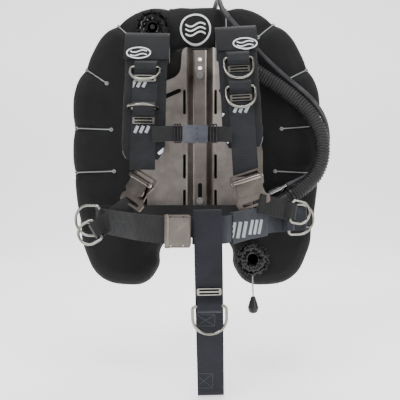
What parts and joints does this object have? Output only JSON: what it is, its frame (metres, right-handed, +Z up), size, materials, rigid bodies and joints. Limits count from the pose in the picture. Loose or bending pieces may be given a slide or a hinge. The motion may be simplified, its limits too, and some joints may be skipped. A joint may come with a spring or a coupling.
{
  "type": "backplate buoyancy wing with webbing harness",
  "caption": "Steel backplate with a horseshoe air wing, padded webbing harness, quick-release buckles, rings, corrugated inflator hose, dump valve and crotch strap.",
  "frame": {"origin": "midway between the two cylinder studs, on the plane where a cylinder band seats against their rear nuts", "axes": "+Z up along the wearer's back, -Y towards the harness front, +X to the right seen from the front, +Y along the studs towards the cylinder"},
  "size_m": [0.586, 0.3549, 0.8317],
  "materials": {
    "plate_steel": "brushed",
    "fastener_steel": "turned",
    "brass_eyelet": "plated",
    "wing_cloth": "coated nylon",
    "bladder_film": "film",
    "bungee_cord": "braided",
    "valve_plastic": "moulded",
    "valve_seal": "smooth",
    "spring_steel": "drawn wire",
    "button_plastic": "moulded",
    "soft_rubber": "moulded",
    "corrugated_rubber": "corrugated",
    "hose_rubber": "smooth",
    "plated_brass": "knurled",
    "pad_cloth": "woven",
    "harness_webbing": "webbing",
    "sleeve_cloth": "woven",
    "ring_steel": "polished",
    "buckle_steel": "polished",
    "buckle_plastic": "moulded"
  },
  "bodies": {
    "root": {"backplate": "plate_steel", "tank_studs": "fastener_steel", "stud_washers": "fastener_steel", "stud_nuts": "fastener_steel", "panel_grommets": "brass_eyelet", "wing_shell": "wing_cloth", "wing_bladder": "bladder_film", "wing_center_panel": "wing_cloth", "wing_bungees": "bungee_cord", "dump_valve_base": "valve_plastic", "dump_valve_cap": "valve_plastic", "dump_spring": "spring_steel", "shoulder_valve_base": "valve_plastic", "shoulder_valve_cap": "valve_plastic", "corrugated_hose": "corrugated_rubber", "hose_elbow": "valve_plastic", "hose_clamps": "valve_plastic", "inflator_body": "valve_plastic", "mouthpiece": "soft_rubber", "lp_hose": "hose_rubber", "lp_regulator_fitting": "plated_brass", "lp_coupling_core": "plated_brass", "shoulder_web_left": "harness_webbing", "shoulder_pad_left": "pad_cloth", "shoulder_web_right": "harness_webbing", "shoulder_pad_right": "pad_cloth", "pad_bands": "pad_cloth", "quick_frames": "buckle_steel", "quick_hooks": "buckle_steel", "lower_webs": "harness_webbing", "waist_belt_left": "harness_webbing", "waist_belt_right": "harness_webbing", "belt_sleeve": "sleeve_cloth", "waist_buckle_plate": "buckle_steel", "lever_pins": "fastener_steel", "crotch_strap": "harness_webbing", "chest_web_left": "harness_webbing", "chest_web_right": "harness_webbing", "chest_socket": "buckle_plastic", "strap_glides": "ring_steel"},
    "shoulder_ring_left_upper": {"shoulder_ring_left_upper": "ring_steel"},
    "shoulder_ring_left_lower": {"shoulder_ring_left_lower": "ring_steel"},
    "shoulder_ring_right_upper": {"shoulder_ring_right_upper": "ring_steel"},
    "shoulder_ring_right_lower": {"shoulder_ring_right_lower": "ring_steel"},
    "strap_ring_left": {"strap_ring_left": "ring_steel"},
    "strap_ring_right": {"strap_ring_right": "ring_steel"},
    "hip_ring_left": {"hip_ring_left": "ring_steel"},
    "hip_ring_right": {"hip_ring_right": "ring_steel"},
    "crotch_ring": {"crotch_ring": "ring_steel"},
    "quick_lever_left": {"quick_lever_left": "buckle_steel"},
    "quick_lever_right": {"quick_lever_right": "buckle_steel"},
    "waist_buckle_lever": {"waist_buckle_lever": "buckle_steel"},
    "chest_plug": {"chest_plug": "buckle_plastic"},
    "inflate_button": {"inflate_button": "button_plastic"},
    "exhaust_button": {"exhaust_button": "valve_plastic"},
    "lp_coupling_collar": {"lp_coupling_collar": "plated_brass"},
    "dump_pull": {"dump_cord": "bungee_cord", "dump_knob": "valve_plastic"},
    "dump_valve_disc": {"dump_valve_disc": "valve_seal"},
    "shoulder_valve_stem": {"shoulder_valve_stem": "valve_plastic"}
  },
  "joints": [
    {"name": "shoulder_ring_left_upper_swing", "type": "hinge", "parent": "root", "child": "shoulder_ring_left_upper", "pos_m": [-0.10973, -0.13764, 0.13009], "axis": [-0.9998, 0, 0.0175], "range_deg": [-28, 100]},
    {"name": "shoulder_ring_left_lower_swing", "type": "hinge", "parent": "root", "child": "shoulder_ring_left_lower", "pos_m": [-0.11126, -0.15685, 0.0427], "axis": [-0.9998, 0, 0.0175], "range_deg": [-76, 50]},
    {"name": "shoulder_ring_right_upper_swing", "type": "hinge", "parent": "root", "child": "shoulder_ring_right_upper", "pos_m": [0.07715, -0.1356, 0.14984], "axis": [-0.9986, 0, -0.0523], "range_deg": [-2, 130]},
    {"name": "shoulder_ring_right_lower_swing", "type": "hinge", "parent": "root", "child": "shoulder_ring_right_lower", "pos_m": [0.08034, -0.14902, 0.08892], "axis": [-0.9986, 0, -0.0523], "range_deg": [-3, 130]},
    {"name": "strap_ring_left_swing", "type": "hinge", "parent": "root", "child": "strap_ring_left", "pos_m": [-0.20445, -0.15289, -0.194], "axis": [-0.5223, 0.1945, 0.8303], "range_deg": [-14, 100]},
    {"name": "strap_ring_right_swing", "type": "hinge", "parent": "root", "child": "strap_ring_right", "pos_m": [0.18314, -0.14556, -0.15908], "axis": [-0.1739, -0.0811, -0.9814], "range_deg": [-8, 100]},
    {"name": "hip_ring_left_swing", "type": "hinge", "parent": "root", "child": "hip_ring_left", "pos_m": [-0.2028, -0.13469, -0.17958], "axis": [0, -0.0872, 0.9962], "range_deg": [-15, 25]},
    {"name": "hip_ring_right_swing", "type": "hinge", "parent": "root", "child": "hip_ring_right", "pos_m": [0.18289, -0.11652, -0.17799], "axis": [0, 0.0872, -0.9962], "range_deg": [-5, 20]},
    {"name": "crotch_ring_swing", "type": "hinge", "parent": "root", "child": "crotch_ring", "pos_m": [0.01688, -0.26019, -0.32834], "axis": [-0.9998, 0, -0.0209], "range_deg": [-6, 130]},
    {"name": "quick_lever_left_hinge", "type": "hinge", "parent": "root", "child": "quick_lever_left", "pos_m": [-0.11529, -0.18336, -0.0987], "axis": [-0.6755, 0.6157, 0.4059], "range_deg": [0, 55], "stiffness_Nm_per_rad": 0.02},
    {"name": "quick_lever_right_hinge", "type": "hinge", "parent": "root", "child": "quick_lever_right", "pos_m": [0.09082, -0.1838, -0.09898], "axis": [-0.9511, 0, -0.309], "range_deg": [0, 55], "stiffness_Nm_per_rad": 0.02},
    {"name": "waist_lever_hinge", "type": "hinge", "parent": "root", "child": "waist_buckle_lever", "pos_m": [-0.0575, -0.2883, -0.1925], "axis": [0, 0, -1], "range_deg": [0, 115]},
    {"name": "chest_plug_slide", "type": "slide", "parent": "root", "child": "chest_plug", "axis": [-1, 0, 0], "range_m": [0, 0.02], "deforming": ["chest_web_left"]},
    {"name": "inflate_press", "type": "slide", "parent": "root", "child": "inflate_button", "axis": [-0.0866, 0.9962, 0], "range_m": [0, 0.004], "stiffness_N_per_m": 900, "springref_m": -0.001},
    {"name": "exhaust_press", "type": "slide", "parent": "root", "child": "exhaust_button", "axis": [0.8519, 0.0741, 0.5185], "range_m": [0, 0.004], "stiffness_N_per_m": 900, "springref_m": -0.001},
    {"name": "coupling_collar_slide", "type": "slide", "parent": "root", "child": "lp_coupling_collar", "axis": [0.8821, 0, 0.4711], "range_m": [0, 0.007], "stiffness_N_per_m": 600, "springref_m": -0.001},
    {"name": "dump_pull_slide", "type": "slide", "parent": "root", "child": "dump_pull", "axis": [0, 0, -1], "range_m": [0, 0.01], "stiffness_N_per_m": 500, "springref_m": -0.001},
    {"name": "dump_disc_lift", "type": "slide", "parent": "root", "child": "dump_valve_disc", "axis": [0, -1, 0], "range_m": [0, 0.002], "stiffness_N_per_m": 300, "deforming": ["dump_spring"]},
    {"name": "relief_stem_slide", "type": "slide", "parent": "root", "child": "shoulder_valve_stem", "axis": [0, -1, 0], "range_m": [0, 0.003], "stiffness_N_per_m": 600, "springref_m": -0.001}
  ],
  "couplings": [
    {"joint": "dump_disc_lift", "follows": "dump_pull_slide", "ratio": 0.2}
  ]
}
